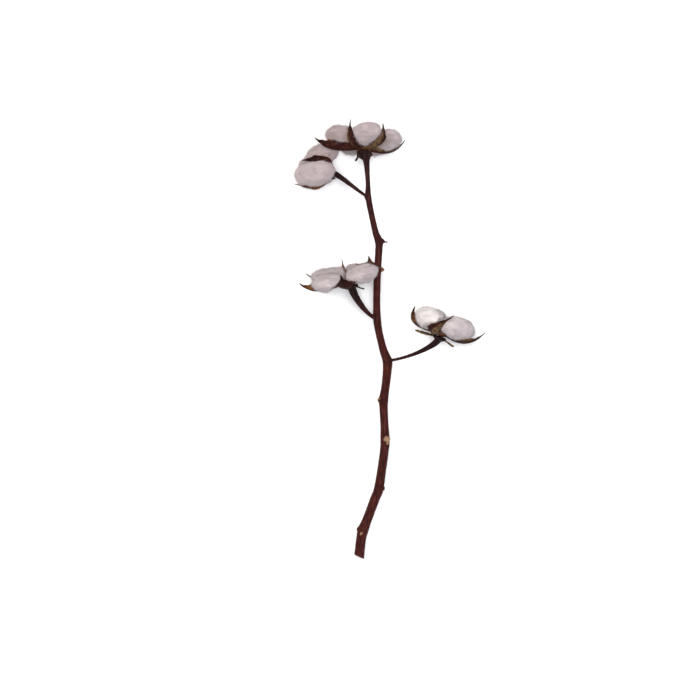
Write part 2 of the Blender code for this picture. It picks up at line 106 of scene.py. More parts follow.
# Each boll: where its bur sits, which way it opens, its valves and its locks.
# A valve: its angle round the boll's axis, how far out and how far up its tip reaches, its width against
# the usual one, how far its tip swings round, how far out it bends up as a share of its reach, how high
# that bend lies, and how far its tip is twisted.
# The locks lie between the valves in the same order: a turn from midway, how far out and how high the
# middle lies, and the size against the boll's own half lengths out, across and up, which lean by a tilt.
BOLLS = {
    "top": {
        "seat": (4.0, 329.0, 33.5),
        "axis": (0.0, 0.94, -0.34),
        "lock_size": (14.0, 13.4, 7.4),
        "lock_tilt": 10.0,
        "valves": [
            (162, 40.5, 6.0, 1.0, 4, 0.74, -7.5, -10),
            (122, 29.0, 14.5, 0.58, -10, 0.85, -6.5, 0),
            (46, 29.0, 12.0, 0.75, 13, 0.85, -5.5, 0),
            (-13, 33.5, 11.0, 0.8, 0, 0.74, -6.5, 0),
            (-88, 30.0, 9.5, 0.9, 0, 0.74, -6.5, 0),
        ],
        "locks": [
            (2, 20.0, 5.8, 1.0),
            (0, 18.5, 5.0, 0.97),
            (6, 19.5, 3.4, 0.95),
            (0, 16.5, 7.8, 0.88),
            (14, 15.4, 8.2, 0.84),
        ],
    },
    "upper_left": {
        "seat": (-25.2, 310.4, 20.0),
        "axis": (-0.98, -0.15, 0.0),
        "lock_size": (9.6, 10.4, 15.5),
        "lock_tilt": 12.0,
        "valves": [
            (52, 20.5, 18.5, 0.42, 0, 0.95, -15.0, 0),
            (199, 12.5, 28.0, 0.7, 54, 1.0, -1.0, 0),
            (285, 17.0, 19.0, 0.6, 0, 1.0, -4.0, 0),
            (345, 18.0, 12.0, 0.55, 0, 1.0, -6.5, 0),
        ],
        "locks": [
            (-56, 12.0, 9.8, 1.04),
            (0, 12.0, 11.0, 0.95),
            (0, 11.5, 9.0, 0.95),
            (-6, 16.0, 1.4, 0.94),
        ],
    },
    "middle_left": {
        "seat": (-7.2, 223.2, 28.0),
        "axis": (-0.2, 0.95, 0.15),
        "lock_size": (15.0, 13.0, 6.6),
        "lock_tilt": 8.0,
        "valves": [
            (104, 26.0, 10.5, 1.15, 0, 0.85, -9.0, 0),
            (174, 41.0, 8.5, 0.95, -8, 0.74, -6.5, 35),
            (222, 36.0, 12.0, 0.8, -19, 0.74, -6.5, 0),
            (258, 23.0, 17.6, 0.45, 6, 0.9, -6.5, 0),
            (316, 29.5, 14.5, 1.25, -6, 0.9, -6.5, -40),
        ],
        "locks": [
            (6, 19.5, 3.8, 1.06),
            (0, 15.5, 7.6, 0.96),
            (0, 16.0, 6.0, 0.9),
            (0, 14.0, 4.0, 0.95),
            (24, 12.5, 5.4, 1.1),
        ],
    },
    "right": {
        "seat": (65.6, 181.6, 25.5),
        "axis": (0.36, 0.92, 0.1),
        "lock_size": (13.5, 14.0, 8.2),
        "lock_tilt": 12.0,
        "valves": [
            (196, 28.5, 12.5, 0.9, 0, 1.1, -6.5, 25),
            (130, 23.0, 19.5, 0.8, -50, 0.98, -6.5, 0),
            (-2, 33.0, 14.0, 0.82, -4, 0.74, -6.5, 10),
            (-90, 28.0, 12.0, 0.9, 0, 0.8, -6.5, 0),
        ],
        "locks": [
            (-8, 13.0, 7.8, 1.0),
            (4, 14.4, 9.6, 1.02),
            (0, 15.5, 8.0, 1.0),
            (0, 15.5, 8.0, 1.0),
        ],
    },
}

# Side stalks: the boll, where the stalk leaves the stem, how far its middle bows towards the tip, its
# radius below the boll, and how late it thickens.
STALKS = [
    ("upper_left", 290.5, -1.5, 2.3, 1.4),
    ("middle_left", 193.0, -3.0, 3.2, 1.3),
    ("right", 160.0, -2.0, 2.6, 2.2),
]
STALK_THIN = 1.15  # radius near the stem
STALK_TOP = 3.6  # how far below the bur's seat the stalk ends
STALK_STEPS = 40
FORK_RADIUS = 2.5  # of the swelling where a stalk leaves the stem

# A bur's valve: a pointed boat-shaped blade with a thin partition along its inner side.
VALVE_HALF_WIDTH = 7.2
VALVE_THICKNESS = 1.0
VALVE_OUTLINE = [(0.0, 0.6), (0.2, 0.9), (0.42, 1.0), (0.64, 0.84), (0.8, 0.42), (0.9, 0.14), (1.0, 0.05)]
VALVE_TIP_HALF_WIDTH = 0.45
VALVE_CUP = 0.6  # how far its edges rise, against its half width
VALVE_ROOT = (2.6, 0.4)  # out and up from the seat
PARTITION_HEIGHT = 5.0
PARTITION_THICKNESS = 0.7
BUR_CORE = (6.2, 2.2)  # radius and half height of the disc that the valves grow from
CORE_RISE = 0.5

LOCK_SOFTNESS = 2.2  # depth over which a lock of cotton flattens against what it presses on
LOCK_CLEAR = 0.9  # left between a lock and the middle of the valve beside it
LOCK_LUMP = 0.9  # height of its soft swellings
SWING_AT_LOCK = 0.55  # how much of a valve's swing is reached beside its locks

# The calyx below the bur, and the dried bracts that are left on it: angle round the axis, reach, drop.
CALYX_RADIUS = 5.8
CALYX_HEIGHT = 3.4
CALYX_TAPER = 2.4
BRACT_ROOT = (3.0, 1.6)  # out from the axis, and below the calyx's top
BRACT_HALF_WIDTH = 3.0
BRACT_TWIST = 0.8  # radians from root to tip
BRACT_THICKNESS = 0.8
BRACTS = {
    "top": [(165, 7.5, 10.5), (300, 8.0, 7.0)],
    "upper_left": [(235, 8.5, 5.0), (300, 8.5, 5.0)],
    "middle_left": [(40, 13.0, 6.5), (250, 10.0, 6.0)],
    "right": [(182, 20.5, 4.6), (12, 13.5, 5.4), (270, 10.0, 7.0)],
}

LOCK_SETTLE = 0.4  # left between the cotton and the valves that it presses on
LOCK_HEART = 8.0  # how far up the boll's axis the place lies that the cotton swells from
LOCK_PLUMP = {("right", 0): 1.08, ("right", 1): 1.05}  # looser locks, against the solid's size
# How dull each lock is, from 0 to 1: partly the cotton's own tone, partly painted light and shade, with the
# palest lock painted as lit more.
LOCK_DULLNESS_AND_SHADE = {
    "top": (0.85, 0.6, 0.5, 0.7, 0.7),
    "upper_left": (0.55, 0.6, 0.6, 0.8),
    "middle_left": (0.4, 0.5, 0.5, 0.5, 0.45),
    "right": (0.0, 0.3, 0.45, 0.4),
}
CONTACT_SHADE_REACH = 1.6  # how far from the bur the cotton's painted contact shade fades

# Relief of the cotton: its height, and its size against half a lock.
SWELL = (0.8, 0.65)
SWELL_SINK = 0.35
CREASE = (0.55, 0.6)
CREASE_BREADTH = 0.2
TUFT = (0.4, 0.22)
FINE = (0.22, 0.08)

FIBRES_ON_LOCK = 2800
FIBRE_LENGTH = (1.4, 4.4)
LONG_FIBRES = (0.05, 1.7)  # the share of them, and how much longer they are
FIBRE_ROOT = 0.15  # how deep it starts
FIBRE_RADIUS = 0.06
FIBRE_CLEAR = 1.7  # how far from the bur the fibres start

# Where the outside of a valve is tan instead of maroon: the boll and the valve, then which side of it
# and from how far across.
TAN_SIDES = {
    ("top", 1): (1, 0.2),
    ("top", 2): (1, -0.1),
    ("top", 3): (1, 0.35),
    ("right", 1): (-1, -0.1),
    ("right", 2): (1, 0.7),
}
# Valves whose blades are slimmer or further dried round than in the solids, and where a blade has a
# broader shoulder below its tip: how much broader it is there, and at which share of its length.
DRIED_VALVES = {
    ("upper_left", 0): {"twist": 40.0, "width": 0.46},
    ("upper_left", 1): {"twist": 30.0},
    ("middle_left", 4): {"twist": -60.0},
}
SHOULDERS = {("upper_left", 0): (2.2, 0.88), ("middle_left", 4): (1.1, 0.76), ("right", 0): (0.25, 0.76)}
SHOULDER_SPREAD = 0.13

# Relief of a dry blade: how ragged its margin is against its half width, and heights.
MARGIN_RAGGED = 0.07
MARGIN_WAVE = 0.4
MARGIN_CURL = 0.45
RIB_HEIGHT = 0.1
SEAM_DEPTH = 0.25
BLADE_WAVE = 0.18

BRACT_BREADTH = {"top": 1.7}  # against the solid's bract
BRACT_DARKNESS = {"top": 0.85, "upper_left": 0.85, "middle_left": 0.7, "right": 0.3}

# Where the bark is pale: along the stem, angle round it from +X to +Z, half length along, half width round.
PALE_PATCHES = [(96.4, 62.0, 3.3, 3.7), (21.0, 100.0, 1.3, 1.0), (129.4, 158.0, 1.1, 1.2)]
PALE_DEPTH = 0.12
STEM_VOXEL = 0.45  # how fine the stem's surface is before its bark
BARK_RIDGE = 0.12
BARK_GRAIN = 0.05
BARK_PIT = 0.25

# The view: the photograph's frame is FIELD wide at the bolls' height, with VIEW_CENTRE in its middle.
FIELD = 560.0
FIELD_HEIGHT = 28.0
VIEW_CENTRE = (-7.2, 168.8)
CAMERA_HEIGHT = 3000.0

# The light: the sky's strength, and each lamp's place, power, size and colour.
WORLD_LIGHT = 0.33
LAMPS = [
    ("key", (-0.6, 0.6, 1.3), 14.0, 0.8, (1.0, 0.95, 0.9)),
    ("fill", (0.9, -0.4, 1.2), 7.0, 1.2, (0.88, 0.87, 1.0)),
    ("top", (0.05, 0.05, 1.9), 29.0, 0.7, (1.0, 1.0, 1.0)),
]
LAMP_AIM = 0.02  # the height that the lamps face, in metres
FLOOR_HALF = 4.0  # in metres
FLOOR_DROP = 0.0002  # how far below the object the floor lies, in metres

BUMP_DISTANCE = 0.0004  # in metres
DULL_SPECULAR = 0.08
DISPLAY_GAMMA = 2.2

# Colours as they look, from 0 to 255.
LOOKS = {
    # The ends of each lock's tone, which carry painted light on the palest lock and painted shade on the
    # duller ones.
    "cotton_fresh": (218, 213, 209),
    "cotton_white": (198, 190, 190),
    "cotton": (174, 163, 168),
    "cotton_dull": (144, 125, 124),
    # Painted contact shade: the brownish grey that the cotton is darkened towards near the bur.
    "cotton_stain": (128, 103, 90),
    "husk_dark": (24, 11, 10),
    "husk": (54, 27, 23),
    "husk_light": (84, 50, 38),
    "husk_inside": (130, 88, 56),
    "husk_inside_dark": (88, 50, 32),
    "husk_inside_light": (168, 130, 90),
    "husk_rim_dark": (66, 46, 33),
    "husk_rim": (116, 92, 64),
    "bark_dark": (26, 9, 8),
    "bark": (54, 22, 19),
    "bark_light": (84, 44, 37),
    "bark_top_dark": (14, 9, 11),
    "bark_top": (32, 21, 23),
    "bark_top_light": (62, 48, 47),
    "scar": (118, 88, 70),
    "scar_light": (152, 122, 98),
    "cut_wood": (142, 116, 88),
    "bract_dark": (58, 42, 28),
    "bract": (104, 82, 56),
    "bract_light": (136, 116, 82),
}


def look(name):
    """A named colour as the shaders take it."""
    return tuple((value / 255) ** DISPLAY_GAMMA for value in LOOKS[name])


def smooth_table(table, share):
    """A value read from (share, value) pairs, eased between them."""
    for (low, first), (high, second) in zip(table, table[1:]):
        if share <= high:
            part = (share - low) / (high - low)
            return first + (second - first) * part * part * (3 - 2 * part)
    return table[-1][1]


def through(points, share):
    """A point on the smooth curve through the given points (Catmull-Rom), share from 0 to 1."""
    spans = len(points) - 1
    place = min(max(share, 0.0), 1.0) * spans
    at = min(int(place), spans - 1)
    part = place - at
    before, start, end, after = (Vector(points[min(max(at + k, 0), spans)]) for k in (-1, 0, 1, 2))
    return 0.5 * (
        2 * start
        + (end - before) * part
        + (2 * before - 5 * start + 4 * end - after) * part**2
        + (3 * start - before - 3 * end + after) * part**3
    )


def stem_line():
    """The stem's middle line as (x, y, z, radius)."""
    longest = STEM[-1][1]
    line = []
    for index, (across, along, radius) in enumerate(STEM):
        height = FOOT_HEIGHT + STEM_RISE[0] * (along / longest) ** STEM_RISE[1]
        bend = ZIGZAG * math.sin(index * math.pi / 3) * min(1.0, along / 60.0)
        line.append((across, along, height + bend, radius))
    return line


def on_stem(along):
    """The middle of the stem and its radius, at a distance along Y."""
    line = stem_line()
    for low, high in zip(line, line[1:]):
        if along <= high[1]:
            part = (along - low[1]) / (high[1] - low[1])
            found = Vector(low).lerp(Vector(high), part)
            return Vector(found[:3]), found[3]
    return Vector(line[-1][:3]), line[-1][3]


class Valve(NamedTuple):
    """One valve of a bur, as it is given in the table of bolls."""

    angle: float
    reach: float
    rise: float
    width: float
    swing: float
    elbow: float
    depth: float
    twist: float


class Boll:
    """One boll's own axes, with the places of its valves and locks in them."""

    def __init__(self, name):
        facts = BOLLS[name]
        self.name = name
        self.seat = Vector(facts["seat"])
        self.axis = Vector(facts["axis"]).normalized()
        up = Vector((0, 0, 1))
        self.front = (up - up.dot(self.axis) * self.axis).normalized()
        self.side = self.axis.cross(self.front)
        self.valves = [Valve(*row) for row in facts["valves"]]
        for (boll, number), changes in DRIED_VALVES.items():
            if boll == name:
                self.valves[number] = self.valves[number]._replace(**changes)
        self.locks = facts["locks"]
        self.lock_size = facts["lock_size"]
        self.lock_tilt = math.radians(facts["lock_tilt"])

    def place(self, angle, out, up, across=0.0):
        """A point given round the axis, out from it and up along it, in the plant's millimetres."""
        turn = math.radians(angle)
        outward = self.side * math.cos(turn) + self.front * math.sin(turn)
        return self.seat + outward * out + self.axis * up + outward.cross(self.axis) * across

    def midrib(self, valve, share):
        """Out and up of the middle of a valve, and the unit normal of its inner side."""
        root = Vector(VALVE_ROOT)
        elbow = Vector((valve.elbow * valve.reach, valve.depth))
        tip = Vector((valve.reach, valve.rise))
        rest = 1 - share
        point = root * rest**2 + elbow * (2 * share * rest) + tip * share**2
        along = ((elbow - root) * rest + (tip - elbow) * share).normalized()
        return point, Vector((-along.y, along.x))

    def beside_midrib(self, valve, share, across, lift):
        """A point beside a valve's midrib and above it on its inner side."""
        point, inner = self.midrib(valve, share)
        turn = math.radians(valve.twist) * share
        across, lift = (
            across * math.cos(turn) - lift * math.sin(turn),
            across * math.sin(turn) + lift * math.cos(turn),
        )
        point = point + inner * lift
        return self.place(valve.angle + valve.swing * share * share, point.x, point.y, across)

    def half_width(self, number, share):
        """Half the width of a valve's blade, from its root to its tip."""
        width = VALVE_HALF_WIDTH * self.valves[number].width * smooth_table(VALVE_OUTLINE, share)
        broader, where = SHOULDERS.get((self.name, number), (0.0, 0.5))
        return width * (1 + broader * math.exp(-(((share - where) / SHOULDER_SPREAD) ** 2)))

    def walls_of_lock(self, index):
        """The angles of the two valves that a lock lies between, the larger first."""
        first, second = self.valves[index], self.valves[(index + 1) % len(self.valves)]
        start, end = (valve.angle + SWING_AT_LOCK * valve.swing for valve in (first, second))
        if (start - end) % 360 < 180:
            return start, start - (start - end) % 360
        return start + (end - start) % 360, start


def to_frame(point):
    """From the plant's millimetres to the frame's metres, never below the surface."""
    moved = point + FOOTPRINT_SHIFT
    return Vector((moved.x * MM, moved.y * MM, max(moved.z, 0.0) * MM))


def ripple(point, size, draw=0.0):
    """Smooth noise from -1 to 1 with features of about the given size."""
    across, along, up = (part / size for part in point)
    return noise.noise(Vector((across + draw, along - draw, up + 0.5 * draw)))


def to_object(name, form):
    """A bmesh turned into an object with smooth faces."""
    mesh = bpy.data.meshes.new(name)
    form.to_mesh(mesh)
    form.free()
    mesh.shade_smooth()
    made = bpy.data.objects.new(name, mesh)
    bpy.context.scene.collection.objects.link(made)
    return made


def paint(made, name, values):
    """Stores one colour for each point, for the material to read."""
    layer = made.data.color_attributes.new(name=name, type="FLOAT_COLOR", domain="POINT")
    flat = [number for value in values for number in (*value, 1.0)]
    layer.data.foreach_set("color", flat)


def evaluated(made):
    """The object with its modifiers applied."""
    graph = bpy.context.evaluated_depsgraph_get()
    mesh = bpy.data.meshes.new_from_object(made.evaluated_get(graph))
    made.modifiers.clear()
    made.data = mesh
    return made


def dress(made, coat, slot, *nodes):
    """Gives a piece its material and its body, and hides the solids that it stands for."""
    made.data.materials.clear()
    made.data.materials.append(coat)
    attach(made, "root")
    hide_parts(*nodes)


def plate(name, point_at, along, across):
    """A closed plate laid out by point_at(share, across, side), with those three for each point."""
    form = bmesh.new()
    bmesh.ops.create_grid(form, x_segments=along, y_segments=across, size=0.5)
    drawn = bmesh.ops.extrude_face_region(form, geom=form.faces[:], use_keep_orig=True)
    upper = {found for found in drawn["geom"] if isinstance(found, bmesh.types.BMVert)}
    marks = [(v.co.x + 0.5, v.co.y * 2, 1 if v in upper else -1) for v in form.verts]
    for vertex, mark in zip(form.verts, marks):
        vertex.co = to_frame(point_at(*mark))
    bmesh.ops.recalc_face_normals(form, faces=form.faces)
    return to_object(name, form), marks


def merge_objects(name, parts):
    """Joins closed meshes into one object without fusing them."""
    form = bmesh.new()
    for part in parts:
        form.from_mesh(part.data)
        bpy.data.objects.remove(part)
    return to_object(name, form)


def round_form(point_at, subdivisions=4):
    """A rounded closed form made by moving a sphere's points, and how many points it has."""
    form = bmesh.new()
    bmesh.ops.create_icosphere(form, subdivisions=subdivisions, radius=1.0)
    for vertex in form.verts:
        vertex.co = to_frame(point_at(vertex.co.copy()))
    if form.calc_volume(signed=True) < 0:
        bmesh.ops.reverse_faces(form, faces=form.faces)
    count = len(form.verts)
    return to_object("round", form), count


def rod(centres, sides, swell=lambda share, turn: 1.0):
    """A closed tube through (x, y, z, radius) points, its radius shaped by swell(share, turn)."""
    form = bmesh.new()
    rings = []
    last = Vector((0, 0, 1))
    total = len(centres) - 1
    for index, centre in enumerate(centres):
        middle = Vector(centre[:3])
        ahead = Vector(centres[min(index + 1, total)][:3]) - Vector(centres[max(index - 1, 0)][:3])
        ahead.normalize()
        last = (last - last.dot(ahead) * ahead).normalized()
        beside = ahead.cross(last)
        ring = []
        for k in range(sides):
            turn = 2 * math.pi * k / sides
            radius = centre[3] * swell(index / total, turn)
            outward = beside * math.cos(turn) + last * math.sin(turn)
            ring.append(form.verts.new(to_frame(middle + outward * radius)))
        rings.append(ring)
    for low, high in zip(rings, rings[1:]):
        for k in range(sides):
            form.faces.new((low[k], low[(k + 1) % sides], high[(k + 1) % sides], high[k]))
    form.faces.new(rings[0][::-1])
    form.faces.new(rings[-1])
    bmesh.ops.recalc_face_normals(form, faces=form.faces)
    return to_object("rod", form)


def soft_stop(distance, limit, softness):
    """Eases a distance that falls towards a limit so that it never passes it."""
    depth = distance - limit
    if depth >= softness:
        return distance
    return limit + softness * math.exp((depth - softness) / softness)


def fluff(at, draw):
    """Soft swells, creases between the seeds, tufts and fine unevenness, in millimetres."""
    shift = draw[0]
    swell = SWELL[0] * ripple(at, SWELL[1], shift) - SWELL_SINK
    crease = -CREASE[0] * math.exp(-((ripple(at, CREASE[1], shift + 3) / CREASE_BREADTH) ** 2))
    tuft = TUFT[0] * ripple(at, TUFT[1], shift + 5)
    fine = FINE[0] * ripple(at, FINE[1], shift + 8)
    return swell + crease + tuft + fine


def lock_point(boll, index, at, draw):
    """A point on a lock of cotton, from a point on a unit sphere: x out, y across, z up."""
    turn, out, up, size = boll.locks[index]
    high, low = boll.walls_of_lock(index)
    size *= LOCK_PLUMP.get((boll.name, index), 1.0)
    length, width, height = (half * size for half in boll.lock_size)
    lump = LOCK_LUMP * math.sin(3.1 * at.x + draw[0]) * math.sin(2.7 * at.y + draw[1])
    lump += fluff(at, draw)
    reach = at.x * (length + lump)
    rise = at.z * (height + lump) * (1 + 0.1 * at.x)
    across = at.y * (width + lump) * (1 + 0.12 * at.x)
    lean, bend = boll.lock_tilt, math.radians(turn)
    radial = out + reach * math.cos(lean) - rise * math.sin(lean)
    axial = up + reach * math.sin(lean) + rise * math.cos(lean)
    radial, across = (
        radial * math.cos(bend) - across * math.sin(bend),
        radial * math.sin(bend) + across * math.cos(bend),
    )
    half = math.radians((high - low) / 2)
    for _ in range(3):
        for side in (1, -1):
            wall = radial * math.sin(half) - side * across * math.cos(half)
            push = soft_stop(wall, LOCK_CLEAR, LOCK_SOFTNESS) - wall
            radial += push * math.sin(half)
            across -= side * push * math.cos(half)
    return boll.place((high + low) / 2, radial, axial, across)


def blade_tree(boll):
    """A bur's plain blades as a search tree."""
    form = bmesh.new()
    for number, valve in enumerate(boll.valves):

        def blade(share, across, side, number=number, valve=valve):
            width = max(boll.half_width(number, share), VALVE_TIP_HALF_WIDTH)
            lift = VALVE_CUP * width * across**2 + side * VALVE_THICKNESS / 2
            return boll.beside_midrib(valve, share, width * across, lift)

        made, _ = plate("blade", blade, 20, 8)
        form.from_mesh(made.data)
        bpy.data.objects.remove(made)
    tree = BVHTree.FromBMesh(form)
    form.free()
    return tree


def held_by(tree, heart, point):
    """A point of the cotton, brought back to the inner side of a valve that lies before it."""
    way = point - heart
    far = way.length
    hit, _, _, distance = tree.ray_cast(heart, way, far + LOCK_SETTLE * MM)
    if hit is None:
        return point
    return heart + way * (max(distance - LOCK_SETTLE * MM, 0.0) / far)


def add_fibres(form, places, rng):
    """Fine curling fibres as slim closed spikes, rooted just under the cotton's surface."""
    for point, normal in places:
        sway = Vector((rng.uniform(-1, 1), rng.uniform(-1, 1), rng.uniform(-1, 1)))
        flow = (sway - sway.dot(normal) * normal).normalized()
        length = rng.uniform(*FIBRE_LENGTH) * MM
        if rng.random() < LONG_FIBRES[0]:
            length *= LONG_FIBRES[1]
        lift = rng.uniform(0.1, 0.45)
        bend = rng.uniform(-0.6, 0.6)
        beside = normal.cross(flow)
        root = point - normal * FIBRE_ROOT * MM
        middle = root + (flow * (1 - lift) + normal * (lift + 0.2)) * length * 0.5
        tip = middle + (flow * 0.8 + beside * bend + normal * (lift - 0.4)) * length * 0.5
        radius = FIBRE_RADIUS * MM * rng.uniform(0.7, 1.2)
        rings = []
        for centre, size in ((root, radius), (middle, radius * 0.8)):
            turns = [beside * math.cos(turn) + normal * math.sin(turn) for turn in (0.5, 2.6, 4.7)]
            rings.append([form.verts.new(centre + outward * size) for outward in turns])
        end = form.verts.new(tip)
        form.faces.new(rings[0][::-1])
        for k in range(3):
            n = (k + 1) % 3
            form.faces.new((rings[0][k], rings[0][n], rings[1][n], rings[1][k]))
            form.faces.new((rings[1][k], rings[1][n], end))


def surface_places(made, count, rng):
    """Random places on a mesh, spread by area, with the surface's direction there."""
    mesh = made.data
    mesh.calc_loop_triangles()
    triangles = mesh.loop_triangles
    weights = []
    total = 0.0
    for triangle in triangles:
        total += triangle.area
        weights.append(total)
    places = []
    at = 0
    for step in range(count):
        target = total * (step + rng.random()) / count
        while weights[at] < target:
            at += 1
        a, b, c = (mesh.vertices[k].co for k in triangles[at].vertices)
        u, v = rng.random(), rng.random()
        if u + v > 1:
            u, v = 1 - u, 1 - v
        places.append((a + (b - a) * u + (c - a) * v, Vector(triangles[at].normal)))
    return places


def cotton_body(boll, index, draw, tree):
    """A lock of cotton without its fibres, pressed into its bur."""
    heart = to_frame(boll.place(0, 0.0, LOCK_HEART))
    form = bmesh.new()
    bmesh.ops.create_icosphere(form, subdivisions=5, radius=1.0)
    for vertex in form.verts:
        point = to_frame(lock_point(boll, index, vertex.co.copy(), draw))
        vertex.co = held_by(tree, heart, point)
        vertex.co.z = max(vertex.co.z, 0.0)
    if form.calc_volume(signed=True) < 0:
        bmesh.ops.reverse_faces(form, faces=form.faces)
    return to_object(f"{boll.name}_cotton_{index + 1}", form)


def cotton_tones(made, dull_and_shade, tree, solid_count):
    """What the cotton's material reads: how near the bur it is, for the painted contact shade, how dull it
    is with its painted light and shade, and whether it is a fibre.
    """
    tones = []
    for vertex in made.data.vertices:
        near = tree.find_nearest(vertex.co)[3] / MM
        tones.append((math.exp(-near / CONTACT_SHADE_REACH), dull_and_shade, 0.0 if vertex.index < solid_count else 1.0))
    return tones


def cotton_lock(boll, index, draw, tree):
    """One lock of cotton with its fibres."""
    rng = random.Random(f"{boll.name}{index}")
    made = cotton_body(boll, index, draw, tree)
    places = surface_places(made, FIBRES_ON_LOCK, rng)
    places = [spot for spot in places if tree.find_nearest(spot[0])[3] > FIBRE_CLEAR * MM]
    form = bmesh.new()
    form.from_mesh(made.data)
    solid_count = len(form.verts)
    add_fibres(form, places, rng)
    for vertex in form.verts:
        vertex.co.z = max(vertex.co.z, 0.0)
    form.to_mesh(made.data)
    form.free()
    made.data.shade_smooth()
    paint(made, "tone", cotton_tones(made, LOCK_DULLNESS_AND_SHADE[boll.name][index], tree, solid_count))
    return made


def blade_form(boll, number, shift, share, across, side):
    """A point on a ribbed, cupped blade with a ragged, curled margin."""
    ragged = 1 + MARGIN_RAGGED * ripple((share * 30, across, 0), 3.5, shift) * (1 - share)
    width = max(boll.half_width(number, share) * ragged, VALVE_TIP_HALF_WIDTH * (1.4 - share))
    edge = abs(across)
    beside = width * across
    thick = VALVE_THICKNESS * (1 - 0.4 * edge**3) * (1 - 0.35 * share)
    lift = VALVE_CUP * beside * beside / width + side * thick / 2
    lift += MARGIN_WAVE * edge**4 * min(1.0, width / 4) * math.sin(share * 19 + shift + across)
    lift -= MARGIN_CURL * edge**10 * min(1.0, width / 4)
    ribs = RIB_HEIGHT * math.cos(across * 13 + 1.5 * ripple((share * 9, across * 2, 3), 1.0, shift))
    lift += side * ribs * (1 - share) * (1 - edge**6)
    if side < 0:
        lift -= SEAM_DEPTH * math.exp(-((across / 0.13) ** 2)) * (1 - share)
    lift += BLADE_WAVE * ripple((share * 26, across * 5, side), 2.2, shift)
    return boll.beside_midrib(boll.valves[number], share, beside, lift)


def wall_form(boll, valve, shift, share, rise, side):
    """A point on the papery wall along a valve's midrib."""
    height = PARTITION_HEIGHT * math.sin(math.pi * (0.12 + 0.84 * share))
    height *= 1 + 0.12 * ripple((share * 20, 0, 0), 2.0, shift)
    lift = -0.2 + (height + 0.2) * (rise + 1) / 2
    wave = 0.2 * ripple((share * 14, rise, 1), 2.0, shift) * (rise + 1)
    return boll.beside_midrib(valve, 0.06 + 0.56 * share, wave + side * PARTITION_THICKNESS / 2, lift)


def tan_edge(across, side, tan_from):
    """How tan the outside of a valve is at a place across it: a little at its margins, full at 1."""
    return max(0.85 * abs(across) ** 3, min(1.0, 0.7 + 0.9 * (side * across - tan_from)))


def bur_piece(boll):
    """A bur: its blades, the papery walls along them and the core that they grow from."""
    parts = []
    tones = []
    for number, valve in enumerate(boll.valves):
        shift = 2.0 + len(boll.name) + 7.3 * number
        made, marks = plate("blade", partial(blade_form, boll, number, shift), 52, 16)
        parts.append(made)
        tan_side = TAN_SIDES.get((boll.name, number), (1, 2.0))
        tones += [((1 + side) / 2, tan_edge(across, *tan_side), share) for share, across, side in marks]
        made, marks = plate("wall", partial(wall_form, boll, valve, shift), 22, 5)
        parts.append(made)
        tones += [(1.0, 0.9, 0.3) for _ in marks]
    core, count = round_form(
        lambda at: boll.place(
            0,
            at.x * BUR_CORE[0] * (1 + 0.04 * math.cos(5 * math.atan2(at.y, at.x))),
            CORE_RISE + at.z * BUR_CORE[1],
            at.y * BUR_CORE[0],
        )
    )
    parts.append(core)
    tones += [(0.3, 0.2, 0.0)] * count
    made = merge_objects(f"{boll.name}_husk", parts)
    paint(made, "tone", tones)
    return made


def stalk_points(boll, along, bow, thick, power):
    """A side stalk's middle line: it leaves the stem thin and thickens below the boll."""
    start, _ = on_stem(along)
    end = boll.seat - boll.axis * STALK_TOP
    before_end = end - boll.axis * 7.0
    points = []
    for step in range(STALK_STEPS + 1):
        share = step / STALK_STEPS
        straight = start.lerp(end, share)
        turned = start.lerp(before_end, share).lerp(end, share**3)
        middle = straight.lerp(turned, 0.8)
        middle.y += bow * math.sin(math.pi * share)
        radius = STALK_THIN + (thick - STALK_THIN) * min(1.0, 1.15 * share) ** power
        points.append((*middle, radius))
    return points


def stalk_swell(share, turn):
    """Shallow ridges round a dried side stalk, deeper towards the boll."""
    return 1 + 0.09 * share * math.cos(3 * turn) + 0.05 * share * math.cos(8 * turn)


def calyx_form(boll):
    """The blunt cone that joins a stalk to its bur, with the calyx's shallow lobes round its rim."""
    top = -BUR_CORE[1] + CORE_RISE - GAP
    foot = top - CALYX_HEIGHT

    def point_at(at):
        turn = math.atan2(at.y, at.x)
        radius = CALYX_RADIUS - CALYX_TAPER * max(0.0, -at.z)
        radius *= 1 + 0.04 * math.cos(5 * turn) + 0.03 * math.cos(11 * turn + 1)
        level = min(top, (top + foot) / 2 + at.z * CALYX_HEIGHT * 0.75)
        return boll.place(0, at.x * radius, level, at.y * radius)

    return round_form(point_at, 5)[0]


def bract_form(boll, angle, reach, drop, shift, share, across, side):
    """A point on a dried bract: a thin, twisted, pointed leaf with a torn, toothed margin."""
    top = -BUR_CORE[1] + CORE_RISE - GAP - BRACT_ROOT[1]
    out = BRACT_ROOT[0] + (reach - BRACT_ROOT[0]) * share
    up = top - (drop + top) * math.sin(share * math.pi / 2) ** 1.5
    width = BRACT_HALF_WIDTH * BRACT_BREADTH.get(boll.name, 1.0) * (1 - share) ** 0.6 + 0.25
    width *= 1 - 0.3 * abs(across) * max(0.0, math.sin(share * 26 + shift)) * (share < 0.9)
    twist = BRACT_TWIST * share
    curl = 0.4 * across * across * (1 - share)
    above = side * BRACT_THICKNESS * (0.5 - 0.15 * abs(across)) + curl
    above += 0.15 * ripple((share * 12, across * 3, 0), 1.6, shift)
    beside = width * across
    turned = beside * math.cos(twist) - above * math.sin(twist)
    raised = beside * math.sin(twist) + above * math.cos(twist)
    return boll.place(angle, out, up + raised, turned)


def bracts_piece(boll):
    """The bracts that are left below a bur."""
    leaves = []
    for index, facts in enumerate(BRACTS[boll.name]):
        leaves.append(plate("bract", partial(bract_form, boll, *facts, 3.0 * index), 36, 8)[0])
    made = merge_objects(f"{boll.name}_bracts", leaves)
    paint(made, "tone", [(BRACT_DARKNESS[boll.name], 0.0, 0.0)] * len(made.data.vertices))
    return made


